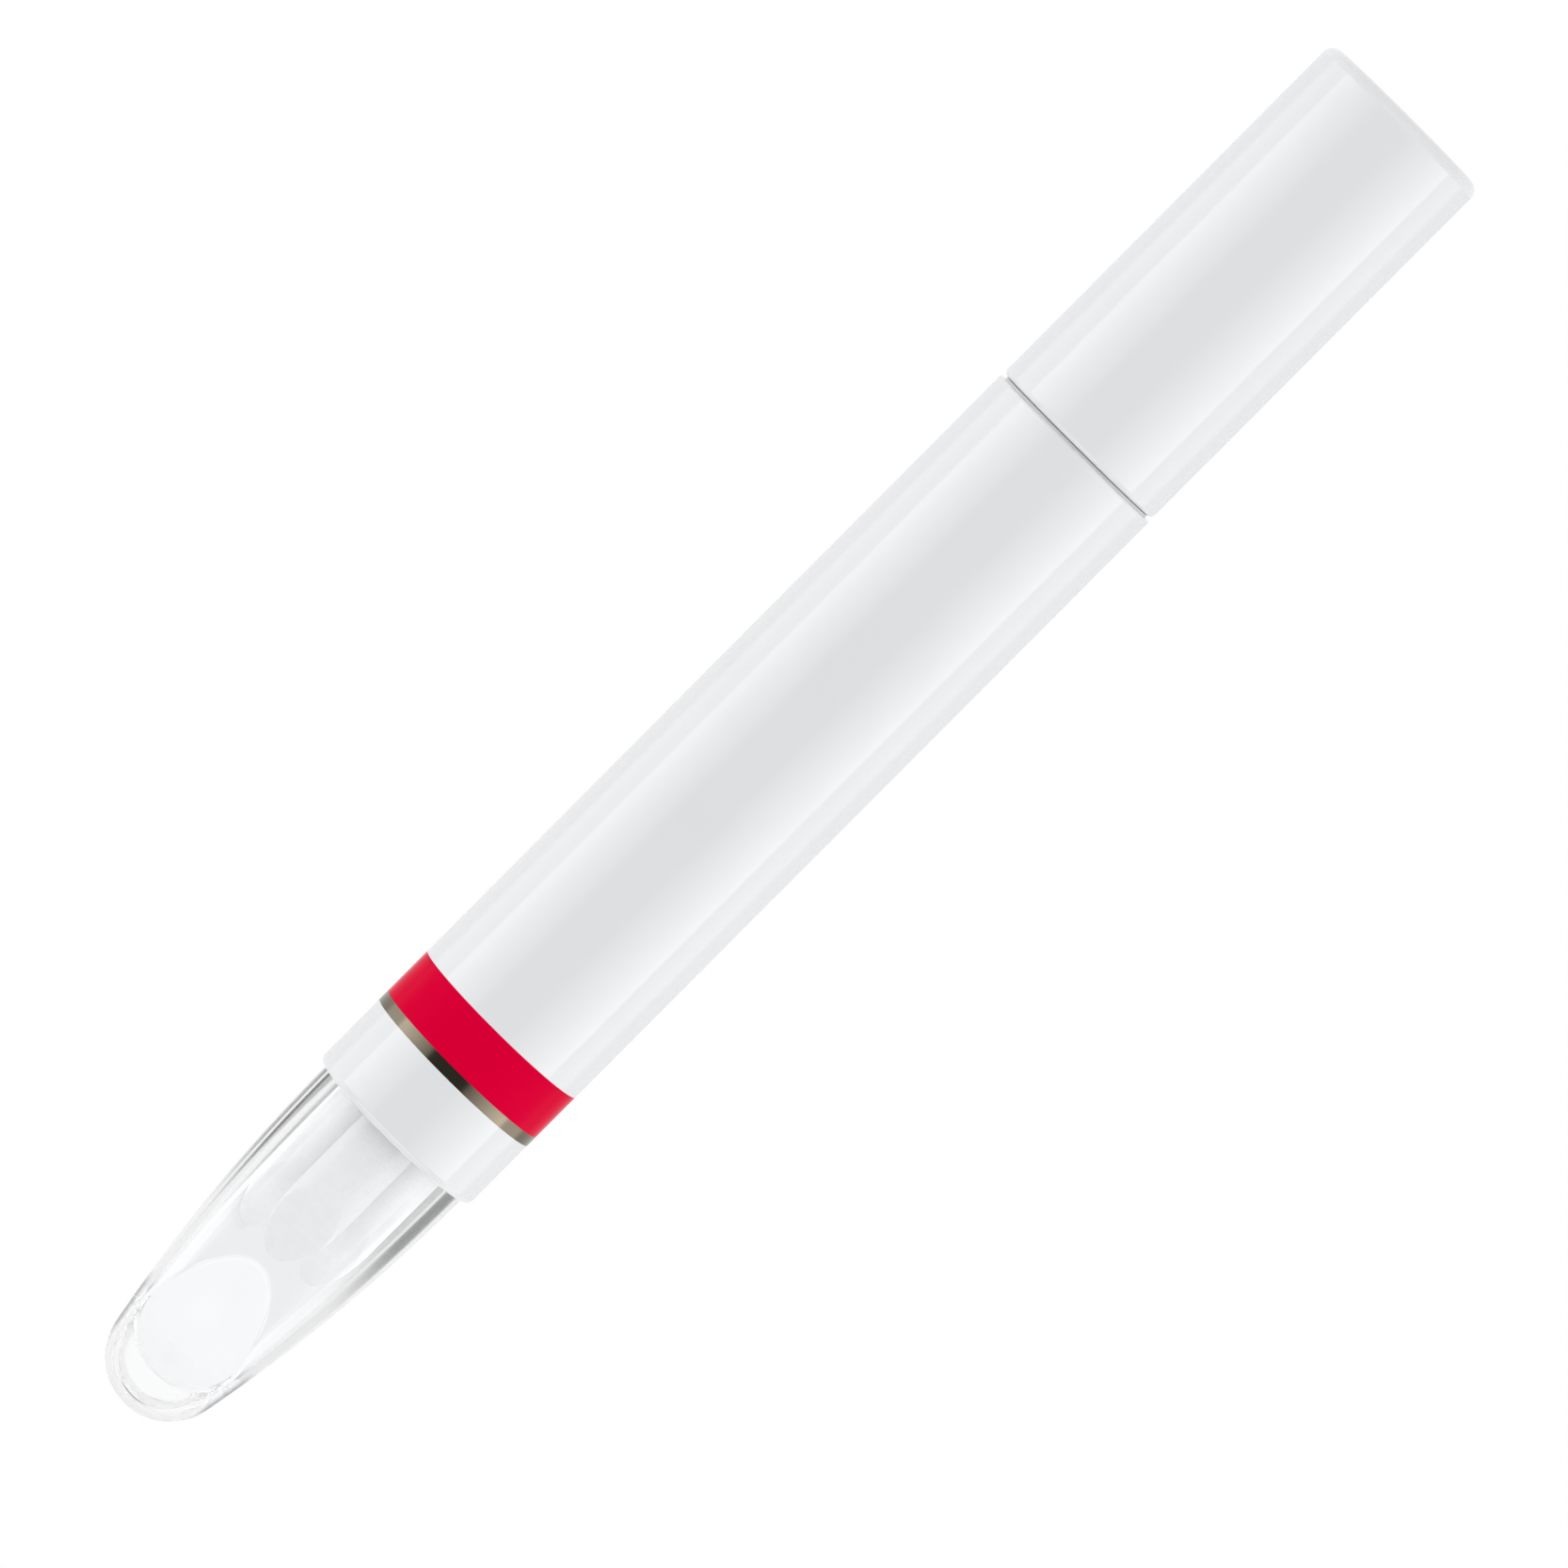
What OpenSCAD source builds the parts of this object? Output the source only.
// Nail oil pen with a pull-off cap, a sprung valve nib and a clear end that stores three spare nibs.
// All sizes are in millimetres. The pen stands on the flat end of its cap: the origin is the centre
// of that face, +Z runs along the pen to the clear tip, and the tip's flat pusher facet faces -Y.

/* [Nib] */
// Radius of the round felt nib
nib_r = 2.35; // [2.2:0.05:2.6]
// Length of a nib from its rear face to its tip
nib_len = 24; // [22:0.5:27]
// Length of the bullet rounding at the nib's tip
nib_point_len = 5; // [4:0.25:6.5]
// Radius of the very tip of the nib
nib_tip_r = 1.3; // [0.9:0.1:1.6]
// Length of the slanted oiling face, measured along the nib
nib_slant_len = 7.4; // [6:0.2:9]
// How deep the slanted face has cut across the nib when it reaches the tip
nib_slant_depth = 3.3; // [2.8:0.1:3.8]
// Bevel round the nib's rear edge
nib_rear_bevel = 0.3; // [0.1:0.05:0.6]
// How far the nib is pressed in to open the valve
nib_travel = 1.2; // [0.8:0.1:1.6]
// Running clearance round the nib in every hole that holds it
nib_clearance = 0.05; // [0.02:0.01:0.09]

/* [Spare nibs] */
// Angle round the axis from the front spare nib to each of the other two
spare_angle_step = 111; // [105:1:120]
// Gap between the front spare nib and each of the other two
spare_gap = 0.36; // [0.3:0.02:0.8]
// Gap between the spare nibs and the wall of the clear end
spare_wall_gap = 0.13; // [0.12:0.01:0.4]
// Depth of the sockets that hold the spare nibs
socket_depth = 5.2; // [4.5:0.1:7.5]
// Floor of the holder under the sockets
holder_floor = 1.4; // [1:0.1:2]
// Height of the hollow skirt under the holder's floor
holder_skirt = 2.2; // [1.5:0.1:3]
// Wall of that skirt
holder_skirt_wall = 1.05; // [0.8:0.05:1.6]
// Step down from the barrel's shoulder to the holder's face
holder_step = 0.2; // [0.1:0.05:0.5]
// Which way the front spare nib's slanted face is turned, about +Z from +X
front_nib_angle = -90; // [-110:5:-70]
// The same for the spare nib on the -X side
left_nib_angle = -75; // [-110:5:-60]
// The same for the spare nib on the +X side
right_nib_angle = -110; // [-120:5:-70]

/* [Clear end] */
// Wall of the clear end at its base
clear_wall = 1.3; // [1:0.05:1.6]
// Room from the spare nibs' tips to the clear tip
tip_room = 15; // [13:0.1:18]
// Radius of the ball that the clear tip ends in
clear_tip_r = 4.69; // [4.2:0.01:5]
// Solid thickness between the hollow and the clear tip
tip_wall = 3.3; // [2.4:0.05:4]
// Radius of the ball that the hollow ends in
hollow_tip_r = 4.7; // [3.5:0.1:4.8]
// Length of the flat pusher facet, measured along the pen from the tip
facet_len = 14.7; // [13:0.1:16]
// How far in front of the axis the facet passes the tip
facet_lead = 0.22; // [0.1:0.02:0.6]
// Wall between the facet and the hollow
facet_wall = 0.9; // [0.8:0.05:1.8]
// Bevel round the mouth of the clear end
spigot_bevel = 0.3; // [0.1:0.05:0.5]
// Clearance round the clear end in the collar
spigot_clearance = 0.05; // [0.02:0.01:0.09]
// Gap between the clear end's mouth and the barrel's shoulder
spigot_seat_gap = 0.05; // [0.02:0.01:0.1]

/* [Barrel] */
// Length of the barrel, collar included
barrel_len = 69.4; // [66:0.1:80]
// Wall of the collar round the clear end
collar_wall = 0.6; // [0.5:0.05:1]
// Depth of the collar's socket
collar_depth = 6; // [5:0.1:8]
// Wall of the barrel
barrel_wall = 1.2; // [0.9:0.05:1.4]
// Rounding of the barrel's front edge, next to the cap
barrel_front_round = 0.15; // [0.1:0.05:0.4]
// Rounding of the collar's rim
collar_round = 0.55; // [0.3:0.05:0.58]

/* [Printed bands] */
// Width of the red band
red_band_w = 4; // [2:0.1:8]
// Width of the bronze foil line
foil_line_w = 0.9; // [0.5:0.1:1.5]
// White collar left between the foil line and the rim
collar_w = 6.1; // [5.5:0.1:9]
// Thickness of the films, which lie flush in a shallow step
film_t = 0.08; // [0.05:0.01:0.15]

/* [Cap] */
// Length of the cap
cap_len = 33.3; // [32:0.1:38]
// How much smaller the cap's radius is than the barrel's
cap_inset = 0.05; // [0.02:0.01:0.2]
// Wall of the cap
cap_wall = 1.2; // [0.9:0.05:1.4]
// Thickness of the cap's closed end
cap_end_wall = 1.5; // [1.1:0.1:2]
// Rounding of the cap's closed end
cap_end_round = 0.9; // [0.5:0.05:1]
// Rounding of the cap's mouth
cap_mouth_round = 0.4; // [0.2:0.05:0.5]
// Gap between the cap's mouth and the flange that it closes on
cap_seat_gap = 0.05; // [0.02:0.01:0.1]
// Floor of the inner cap
liner_floor = 1; // [0.7:0.1:1.4]
// Room from the inner cap's floor to the nib's tip
nib_room = 4.9; // [4.5:0.1:6]
// Length of the inner cap
liner_len = 18.5; // [16:0.1:20]
// Wall of the inner cap
liner_wall = 0.8; // [0.6:0.05:1.1]
// Air between the inner cap and the root of the nose
liner_gap = 0.2; // [0.15:0.05:0.4]
// Height of the sealing lip at the inner cap's mouth
liner_lip_len = 1.2; // [0.8:0.1:2]
// Clearance between the sealing lip and the nose
liner_lip_gap = 0.04; // [0.02:0.01:0.08]
// Number of ribs that centre the inner cap in the cap
liner_ribs = 6; // [3:1:10]
// Width of those ribs
liner_rib_w = 0.8; // [0.5:0.1:1.5]
// Fit clearance between two pieces that are pressed together
press_clearance = 0.02; // [0.01:0.005:0.05]

/* [Front section] */
// Thickness of the flange that shows between the cap and the barrel
flange_t = 0.2; // [0.2:0.05:0.6]
// How far the flange is set in from the barrel's surface
flange_inset = 0.45; // [0.35:0.05:0.8]
// Length of the neck that the cap slides on
neck_len = 7.7; // [6:0.1:9]
// Clearance between the neck and the cap
neck_clearance = 0.15; // [0.1:0.01:0.3]
// Wall of the neck round its moulded core
neck_wall = 1; // [0.8:0.05:1.2]
// Depth of the ring-shaped core between the neck and the root of the nose
neck_core_depth = 5; // [3:0.1:5.5]
// Height of the snap ring on the neck
snap_height = 0.08; // [0.04:0.01:0.09]
// Half the width of the snap ring along the neck
snap_half_w = 0.6; // [0.4:0.1:1]
// Depth of the groove in the cap that the snap ring rests in
snap_groove = 0.08; // [0.04:0.01:0.15]
// Wall round the nib at the root of the nose
nose_root_wall = 1.85; // [1.4:0.05:2.1]
// Wall round the nib at the mouth of the nose
nose_tip_wall = 1.05; // [0.8:0.05:1.3]
// Rounding of the mouth of the nose
nose_round = 0.5; // [0.3:0.05:0.6]
// How far the nib stands out of the nose
nib_reach = 5; // [4.5:0.1:6]
// Length of the plug that fills the barrel's front end
plug_len = 6.2; // [5:0.1:7]
// Wall between the valve and the seal groove
spigot_wall = 0.8; // [0.6:0.05:1]
// How far the rear spigot reaches past the valve
spigot_overrun = 0.15; // [0.1:0.05:0.4]

/* [Valve] */
// Room left behind the nib when it is fully pressed
nib_stop_room = 0.6; // [0.3:0.1:1]
// Wall of the valve housing
housing_wall = 0.7; // [0.5:0.05:0.9]
// Floor of the valve housing
housing_floor = 1.2; // [0.9:0.1:1.6]
// Thickness of the rubber valve seat
seat_t = 1.2; // [0.8:0.1:1.6]
// Radius of the stem's pin and of its rear post
pin_r = 1; // [0.8:0.05:1.1]
// Oil gap round the pin
oil_gap = 0.35; // [0.25:0.05:0.5]
// Gap left between the closed valve head and its seat
closed_gap = 0.03; // [0.02:0.01:0.05]
// Thickness of the stem's head
head_t = 1.2; // [0.9:0.1:1.6]
// Oil gap round the head
head_gap = 0.8; // [0.6:0.05:0.9]
// Length of the post inside the spring
post_len = 4.2; // [3:0.1:5.5]
// Thickness of the spring's wire
wire_d = 0.5; // [0.4:0.02:0.56]
// How far the spring lies inside the rim of the head
spring_inset = 0.2; // [0.1:0.05:0.3]
// Fitted length of the spring, valve closed
spring_len = 8.2; // [7:0.1:9.5]
// Number of curls in the spring
spring_curls = 7; // [5:1:8]
// Thickness of the spring's retainer
retainer_t = 1.2; // [0.9:0.1:1.6]
// Radius of the retainer's middle hole
retainer_hole_r = 1.1; // [0.9:0.05:1.2]
// Number of oil slots in the retainer's rim
retainer_slots = 6; // [4:1:8]
// Width of those slots
retainer_slot_w = 0.8; // [0.5:0.05:0.9]
// Depth of those slots
retainer_slot_depth = 0.7; // [0.5:0.05:0.8]
// Housing rim above the retainer
housing_rim = 0.4; // [0.3:0.05:0.8]

/* [Oil tank] */
// Gap between the oil tank and the barrel
tank_gap = 0.3; // [0.2:0.05:0.5]
// Wall of the oil tank
tank_wall = 0.7; // [0.5:0.05:0.8]
// Depth of the grooves for the two seal rings
seal_depth = 0.7; // [0.6:0.05:0.8]
// Width of those grooves
seal_groove_w = 1.3; // [1.1:0.1:1.6]
// Distance from a groove to the shoulder in front of it
seal_setback = 1.5; // [1:0.1:2]
// Length of the tail plug inside the tank
tail_plug_len = 5.1; // [4.5:0.1:6]
// Thickness of the tail plug's flange
tail_flange_t = 1.2; // [0.9:0.1:1.6]
// Floor of the tail plug
tail_floor = 1.2; // [0.9:0.1:1.6]
// Wall round the hollow of the tail plug
tail_wall = 0.9; // [0.7:0.05:1.1]
// Gap between the tail plug and the holder of the spare nibs
stack_gap = 0.2; // [0.05:0.05:0.4]

/* [Hidden] */
$fn = 96;
// Facets of a full turn where only a short stretch of a wide arc is used
long_arc_fn = 1440;

white = [0.93, 0.94, 0.95];
natural = [0.88, 0.88, 0.85];
felt = [0.96, 0.96, 0.94];
red = [0.83, 0.0, 0.19];
bronze = [0.6, 0.54, 0.42];
clear = [0.86, 0.9, 0.92, 0.35];
rubber = [0.2, 0.2, 0.22];
steel = [0.7, 0.71, 0.73];

// One overrun for every cut that has to come out of a face
cut = 1;
// Rings of the spring's wire in one curl, and sides of each ring
curl_rings = 8;
wire_sides = 6;
wire_r = wire_d / 2;

// Three nibs stand round the axis, so their spacing gives the pitch radius
spare_pitch_r = (nib_r + spare_gap / 2) / sin(spare_angle_step / 2);
front_nib_at = -90;
left_nib_at = front_nib_at - spare_angle_step;
right_nib_at = front_nib_at + spare_angle_step;

// Radii, worked outwards from the spare nibs to the barrel
hollow_r = spare_pitch_r + nib_r + spare_wall_gap;
clear_r = hollow_r + clear_wall;
collar_bore_r = clear_r + spigot_clearance;
barrel_r = collar_bore_r + collar_wall;
barrel_bore_r = barrel_r - barrel_wall;
film_r = barrel_r - film_t;

// Radii of the cap and of the front section
nib_bore_r = nib_r + nib_clearance;
cap_r = barrel_r - cap_inset;
cap_bore_r = cap_r - cap_wall;
neck_r = cap_bore_r - neck_clearance;
flange_r = barrel_r - flange_inset;
nose_root_r = nib_bore_r + nose_root_wall;
nose_tip_r = nib_bore_r + nose_tip_wall;
liner_bore_r = nose_root_r + liner_gap;
liner_r = liner_bore_r + liner_wall;
plug_r = barrel_bore_r - press_clearance;

// Radii of the tank and the valve, worked inwards from the barrel's bore
tank_r = barrel_bore_r - tank_gap;
tank_bore_r = tank_r - tank_wall;
spigot_r = tank_bore_r - press_clearance;
groove_r = spigot_r - seal_depth;
seal_section_r = (tank_bore_r - groove_r) / 2;
housing_r = groove_r - spigot_wall;
chamber_r = housing_r - housing_wall;
seat_bore_r = pin_r + oil_gap;
head_r = chamber_r - head_gap;
spring_mean_r = head_r - spring_inset - wire_r;
holder_r = barrel_bore_r - press_clearance;

// Heights in the cap
liner_z = cap_end_wall;
liner_top_z = liner_z + liner_len;
nib_tip_z = liner_z + liner_floor + nib_room;
nose_tip_z = nib_tip_z + nib_reach;
neck_low_z = cap_len - neck_len;
snap_z = cap_len - neck_len / 2;

// Heights of the barrel and its bands
barrel_z = cap_len + flange_t;
barrel_top_z = barrel_z + barrel_len;
shoulder_z = barrel_top_z - collar_depth;
foil_top_z = barrel_top_z - collar_w;
foil_z = foil_top_z - foil_line_w;
red_z = foil_z - red_band_w;

// Heights in the valve, from the nib's rear face upwards
nib_rear_z = nib_tip_z + nib_len;
housing_z = nib_rear_z + nib_travel + nib_stop_room;
chamber_z = housing_z + housing_floor;
seat_top_z = chamber_z + seat_t;
head_z = seat_top_z + closed_gap;
head_top_z = head_z + head_t;
retainer_z = head_top_z + spring_len;
retainer_top_z = retainer_z + retainer_t;
housing_top_z = retainer_top_z + housing_rim;
spigot_top_z = housing_top_z + spigot_overrun;

// Heights of the tank and of what lies behind it
tank_z = barrel_z + plug_len;
front_groove_z = tank_z + seal_setback;
holder_top_z = shoulder_z - holder_step;
spare_rear_z = holder_top_z - socket_depth;
holder_floor_z = spare_rear_z - holder_floor;
holder_z = holder_floor_z - holder_skirt;
tail_top_z = holder_z - stack_gap;
tank_top_z = tail_top_z - tail_flange_t;
tail_z = tank_top_z - tail_plug_len;
tail_groove_z = tank_top_z - seal_setback - seal_groove_w;

// Heights of the clear end
spare_tip_z = spare_rear_z + nib_len;
clear_tip_z = spare_tip_z + tip_room;
clear_z = shoulder_z + spigot_seat_gap;
clear_body_len = clear_tip_z - barrel_top_z;
hollow_len = clear_body_len - tip_wall;
facet_z = clear_tip_z - facet_len;

// Radius of the arc that leaves a rod of radius base_r straight and ends in a ball of radius ball_r
function ogive_arc_r(base_r, ball_r, len) =
    (base_r * base_r + (len - ball_r) * (len - ball_r) - ball_r * ball_r) / (2 * (base_r - ball_r));

// Radius of that shape at a height h above its base, below the ball
function ogive_r(base_r, ball_r, len, h) =
    let (arc_r = ogive_arc_r(base_r, ball_r, len))
    sqrt(arc_r * arc_r - h * h) - (arc_r - base_r);

// Height above the base at which the arc runs into the ball
function ogive_joint(base_r, ball_r, len) =
    let (arc_r = ogive_arc_r(base_r, ball_r, len))
    (len - ball_r) * arc_r / (arc_r - ball_r);

// Half outline of a rod about the axis, from one height to another, each edge rounded or sharp
module rod_half(r, low, high, low_round = 0, high_round = 0) {
    translate([0, low + low_round])
        square([r, high - high_round - low - low_round]);
    if (low_round > 0) {
        translate([0, low]) square([r - low_round, 2 * low_round]);
        translate([r - low_round, low + low_round]) circle(low_round);
    }
    if (high_round > 0) {
        translate([0, high - 2 * high_round]) square([r - high_round, 2 * high_round]);
        translate([r - high_round, high - high_round]) circle(high_round);
    }
}

// Half outline of a rod that narrows in a long arc to a ball, with a straight foot below the arc
module ogive_half(base_r, ball_r, len, foot) {
    arc_r = ogive_arc_r(base_r, ball_r, len);
    joint = ogive_joint(base_r, ball_r, len);
    intersection() {
        translate([0, -foot]) square([base_r, foot + len]);
        union() {
            translate([0, -foot]) square([base_r, foot]);
            intersection() {
                translate([base_r - arc_r, 0]) circle(arc_r, $fn = long_arc_fn);
                square([base_r, joint]);
            }
            translate([0, len - ball_r]) circle(ball_r);
        }
    }
}

// A rod or bore between two heights
module rod(r, low, high) {
    translate([0, 0, low]) cylinder(r = r, h = high - low);
}

// A tube between two heights
module tube(outer_r, inner_r, low, high) {
    difference() {
        rod(outer_r, low, high);
        rod(inner_r, low - cut, high + cut);
    }
}

// A round seal ring that fills its groove out to the tank's wall
module seal_ring(low) {
    translate([0, 0, low + seal_groove_w / 2])
        rotate_extrude()
            translate([groove_r + seal_section_r, 0]) circle(seal_section_r);
}

// Everything on the -Y side of a plane that leans back by lean degrees from height z at depth y
module in_front_of(y, z, lean, reach) {
    translate([0, y, z])
        rotate([-lean, 0, 0])
            translate([-reach, -2 * reach, -reach])
                cube([2 * reach, 2 * reach, 3 * reach]);
}

// A felt nib that points up, with its rear face at height zero and its slanted face turned to +X
module nib_shape() {
    lean = atan(nib_slant_depth / nib_slant_len);
    difference() {
        rotate_extrude() {
            translate([0, nib_len - nib_point_len])
                ogive_half(nib_r, nib_tip_r, nib_point_len, nib_len - nib_point_len - nib_rear_bevel);
            polygon([[0, 0], [nib_r - nib_rear_bevel, 0], [nib_r, nib_rear_bevel], [0, nib_rear_bevel]]);
        }
        rotate([0, 0, 90])
            in_front_of(-nib_r, nib_len - nib_slant_len, lean, nib_len);
    }
}

module spare_nib(at, face_angle) {
    color(felt)
        translate([spare_pitch_r * cos(at), spare_pitch_r * sin(at), spare_rear_z])
            rotate([0, 0, face_angle])
                nib_shape();
}

module spare_nib_front() {
    spare_nib(front_nib_at, front_nib_angle);
}

module spare_nib_left() {
    spare_nib(left_nib_at, left_nib_angle);
}

module spare_nib_right() {
    spare_nib(right_nib_at, right_nib_angle);
}

// The nib in use points down into the cap
module nib() {
    color(felt)
        translate([0, 0, nib_rear_z])
            rotate([180, 0, front_nib_angle])
                nib_shape();
}

module cap_shell() {
    color(white)
        rotate_extrude()
            difference() {
                rod_half(cap_r, 0, cap_len - cap_seat_gap, cap_end_round, cap_mouth_round);
                translate([0, cap_end_wall]) square([cap_bore_r, cap_len]);
                polygon([
                    [0, snap_z - snap_half_w - snap_groove],
                    [cap_bore_r, snap_z - snap_half_w - snap_groove],
                    [cap_bore_r + snap_groove, snap_z],
                    [cap_bore_r, snap_z + snap_half_w + snap_groove],
                    [0, snap_z + snap_half_w + snap_groove]
                ]);
            }
}

// Inner cap: a ribbed cup that closes round the nose and keeps the nib from drying out
module cap_liner() {
    lip_z = liner_top_z - liner_lip_len;
    lip_share = (liner_top_z - nose_tip_z) / (neck_low_z - nose_tip_z);
    lip_r = nose_tip_r + (nose_root_r - nose_tip_r) * lip_share + liner_lip_gap;
    base_r = cap_bore_r - press_clearance;
    color(natural) {
        rotate_extrude()
            difference() {
                union() {
                    rod_half(base_r, liner_z, liner_z + liner_floor);
                    rod_half(liner_r, liner_z, liner_top_z);
                }
                polygon([
                    [0, liner_z + liner_floor],
                    [liner_bore_r, liner_z + liner_floor],
                    [liner_bore_r, lip_z],
                    [lip_r, lip_z + liner_lip_len / 2],
                    [lip_r, liner_top_z],
                    [0, liner_top_z]
                ]);
            }
        for (i = [0:liner_ribs - 1])
            rotate([0, 0, i * 360 / liner_ribs])
                translate([liner_r - liner_wall / 2, -liner_rib_w / 2, liner_z])
                    cube([base_r - liner_r + liner_wall / 2 - press_clearance, liner_rib_w, lip_z - liner_z]);
    }
}

// Nose, neck, flange, barrel plug and tank spigot in one moulding
module front_section() {
    color(white)
        rotate_extrude()
            difference() {
                union() {
                    nose_half();
                    rod_half(neck_r, neck_low_z, cap_len, nose_round, 0);
                    snap_half();
                    rod_half(flange_r, cap_len, barrel_z);
                    rod_half(plug_r, cap_len, tank_z);
                    rod_half(spigot_r, cap_len, spigot_top_z);
                }
                translate([0, nose_tip_z - cut]) square([nib_bore_r, housing_z - nose_tip_z + 2 * cut]);
                translate([0, housing_z]) square([housing_r + press_clearance, spigot_top_z - housing_z + cut]);
                translate([groove_r, front_groove_z]) square([spigot_r, seal_groove_w]);
                translate([nose_root_r, neck_low_z - cut])
                    square([neck_r - neck_wall - nose_root_r, neck_core_depth + cut]);
            }
}

module nose_half() {
    polygon([
        [0, nose_tip_z + nose_round],
        [nose_tip_r, nose_tip_z + nose_round],
        [nose_root_r, neck_low_z],
        [nose_root_r, barrel_z],
        [0, barrel_z]
    ]);
    rod_half(nose_tip_r, nose_tip_z, nose_tip_z + 2 * nose_round, nose_round, 0);
}

module snap_half() {
    polygon([
        [0, snap_z - snap_half_w],
        [neck_r, snap_z - snap_half_w],
        [neck_r + snap_height, snap_z],
        [neck_r, snap_z + snap_half_w],
        [0, snap_z + snap_half_w]
    ]);
}

module front_seal() {
    color(rubber) seal_ring(front_groove_z);
}

module valve_housing() {
    color(natural)
        difference() {
            rod(housing_r, housing_z, housing_top_z);
            rod(chamber_r, chamber_z, housing_top_z + cut);
            rod(seat_bore_r, housing_z - cut, chamber_z + cut);
        }
}

module valve_seat() {
    color(rubber) tube(chamber_r - press_clearance, seat_bore_r, chamber_z, seat_top_z);
}

// Pin that the nib pushes on, head that closes the seat, and post that guides the spring
module valve_stem() {
    color(natural)
        rotate_extrude()
            polygon([
                [0, nib_rear_z],
                [pin_r, nib_rear_z],
                [pin_r, head_z],
                [head_r, head_z],
                [head_r, head_top_z],
                [pin_r, head_top_z],
                [pin_r, head_top_z + post_len - pin_r / 2],
                [pin_r / 2, head_top_z + post_len],
                [0, head_top_z + post_len]
            ]);
}

// Centre of the spring's wire at ring i, and a point k on that ring, cut flat at both ends
function curl_angle(i) = i * 360 / curl_rings;
function wire_height(i) = spring_len * i / (spring_curls * curl_rings);
function wire_point(i, k) =
    let (a = curl_angle(i), b = k * 360 / wire_sides, r = spring_mean_r + wire_r * cos(b))
    [r * cos(a), r * sin(a), max(0, min(spring_len, wire_height(i) + wire_r * sin(b)))];

// The coiled wire as one unbroken tube, its two ends ground flat against the head and the retainer
module valve_spring() {
    last = spring_curls * curl_rings;
    points = [for (i = [0:last]) for (k = [0:wire_sides - 1]) wire_point(i, k)];
    sides = [
        for (i = [0:last - 1]) for (k = [0:wire_sides - 1])
            let (a = i * wire_sides + k, b = i * wire_sides + (k + 1) % wire_sides)
            for (face = [[a, b, a + wire_sides], [b, b + wire_sides, a + wire_sides]]) face
    ];
    // Each end is a fan of triangles from a corner that isn't on the ground flat
    first_fan = [for (j = [1:wire_sides - 2]) [1 + j, 1, (2 + j) % wire_sides]];
    low_corner = wire_sides - 2;
    last_fan = [
        for (j = [1:wire_sides - 2])
            [for (k = [0, j, j + 1]) last * wire_sides + (low_corner + k) % wire_sides]
    ];
    echo(least_gap_between_curls = wire_height(curl_rings) - wire_d);
    color(steel)
        translate([0, 0, head_top_z])
            polyhedron(points = points, faces = concat(sides, first_fan, last_fan));
}

module spring_retainer() {
    retainer_r = chamber_r - press_clearance;
    color(natural)
        difference() {
            tube(retainer_r, retainer_hole_r, retainer_z, retainer_top_z);
            for (i = [0:retainer_slots - 1])
                rotate([0, 0, i * 360 / retainer_slots])
                    translate([retainer_r - retainer_slot_depth, -retainer_slot_w / 2, retainer_z - cut])
                        cube([retainer_slot_depth + cut, retainer_slot_w, retainer_t + 2 * cut]);
        }
}

module barrel() {
    color(white)
        rotate_extrude()
            difference() {
                rod_half(barrel_r, barrel_z, barrel_top_z, barrel_front_round, collar_round);
                translate([0, barrel_z - cut]) square([barrel_bore_r, barrel_len + 2 * cut]);
                translate([0, shoulder_z]) square([collar_bore_r, collar_depth + cut]);
                translate([film_r, red_z]) square([film_t + cut, foil_top_z - red_z]);
            }
}

module red_band() {
    color(red) tube(barrel_r, film_r, red_z, foil_z);
}

module foil_line() {
    color(bronze) tube(barrel_r, film_r, foil_z, foil_top_z);
}

module oil_tank() {
    color(natural) tube(tank_r, tank_bore_r, tank_z, tank_top_z);
}

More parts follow.
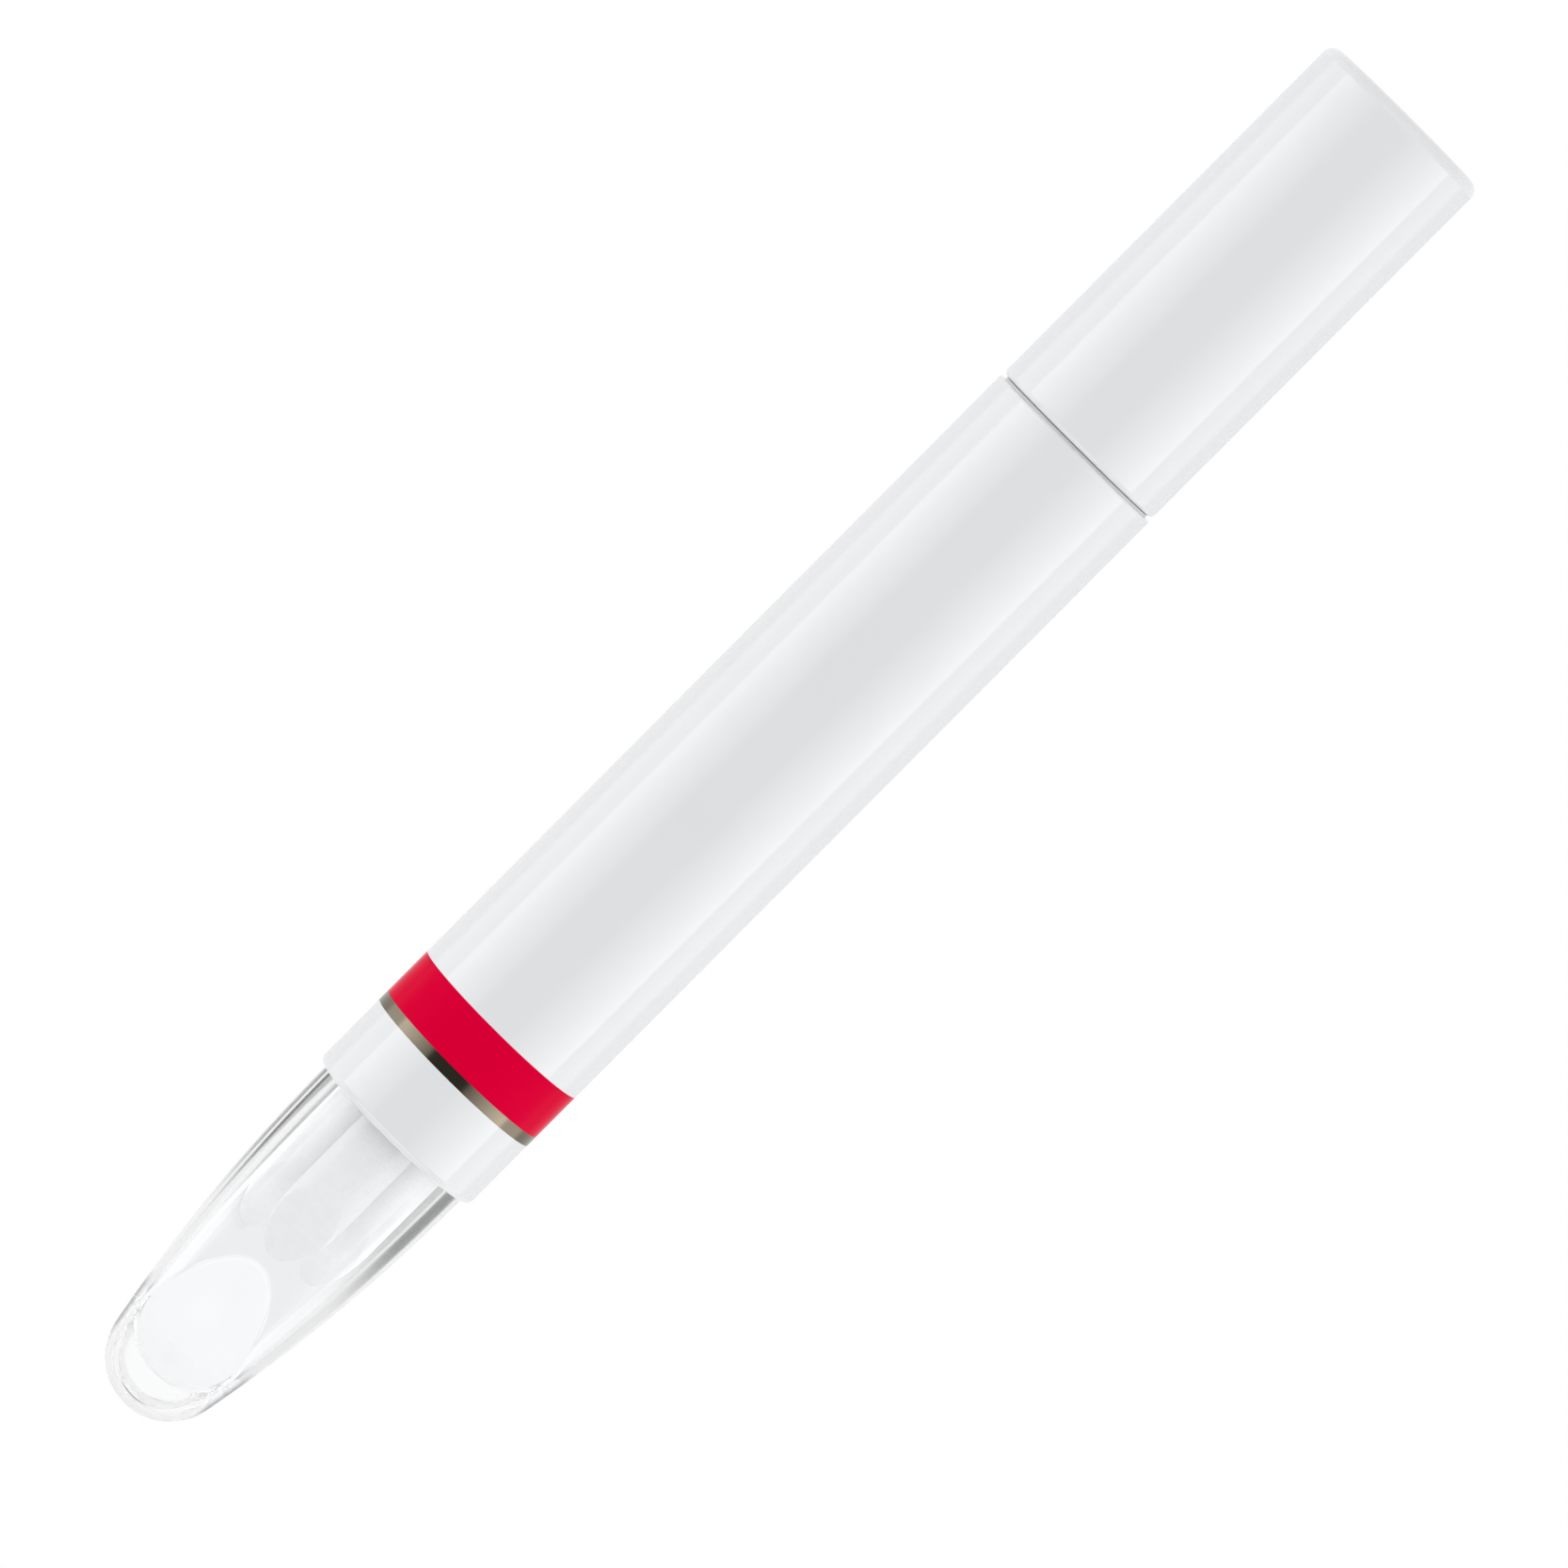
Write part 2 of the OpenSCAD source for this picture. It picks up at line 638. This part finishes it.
// Stopper that closes the tank from behind, with its hollow facing the spare nibs
module tail_plug() {
    hollow_end_r = groove_r - tail_wall;
    color(natural)
        difference() {
            union() {
                rod(spigot_r, tail_z, tank_top_z);
                rod(tank_r, tank_top_z, tail_top_z);
            }
            rod(hollow_end_r, tail_z + tail_floor, tail_top_z + cut);
            tube(spigot_r + cut, groove_r, tail_groove_z, tail_groove_z + seal_groove_w);
        }
}

module tail_plug_seal() {
    color(rubber) seal_ring(tail_groove_z);
}

module spare_nib_holder() {
    color(white)
        difference() {
            rod(holder_r, holder_z, holder_top_z);
            rod(holder_r - holder_skirt_wall, holder_z - cut, holder_floor_z);
            for (at = [front_nib_at, left_nib_at, right_nib_at])
                translate([spare_pitch_r * cos(at), spare_pitch_r * sin(at), 0])
                    rod(nib_bore_r, spare_rear_z, holder_top_z + cut);
        }
}

// Clear end: a hollow ogive whose tip is cut by a flat facet for pushing back cuticles
module clear_end() {
    facet_y = -ogive_r(clear_r, clear_tip_r, clear_body_len, facet_z - barrel_top_z);
    lean = atan((-facet_y - facet_lead) / facet_len);
    foot = barrel_top_z - clear_z;
    color(clear)
        difference() {
            translate([0, 0, barrel_top_z]) rotate_extrude() difference() {
                ogive_half(clear_r, clear_tip_r, clear_body_len, foot);
                polygon([
                    [clear_r - spigot_bevel, -foot - cut],
                    [clear_r - spigot_bevel, -foot],
                    [clear_r, spigot_bevel - foot],
                    [clear_r + cut, spigot_bevel - foot],
                    [clear_r + cut, -foot - cut]
                ]);
            }
            in_front_of(facet_y, facet_z, lean, clear_body_len);
            difference() {
                translate([0, 0, barrel_top_z])
                    rotate_extrude() ogive_half(hollow_r, hollow_tip_r, hollow_len, foot + cut);
                in_front_of(facet_y + facet_wall / cos(lean), facet_z, lean, clear_body_len);
            }
        }
}

cap_shell();
cap_liner();
front_section();
front_seal();
nib();
valve_housing();
valve_seat();
valve_stem();
valve_spring();
spring_retainer();
barrel();
red_band();
foil_line();
oil_tank();
tail_plug();
tail_plug_seal();
spare_nib_holder();
spare_nib_front();
spare_nib_left();
spare_nib_right();
clear_end();
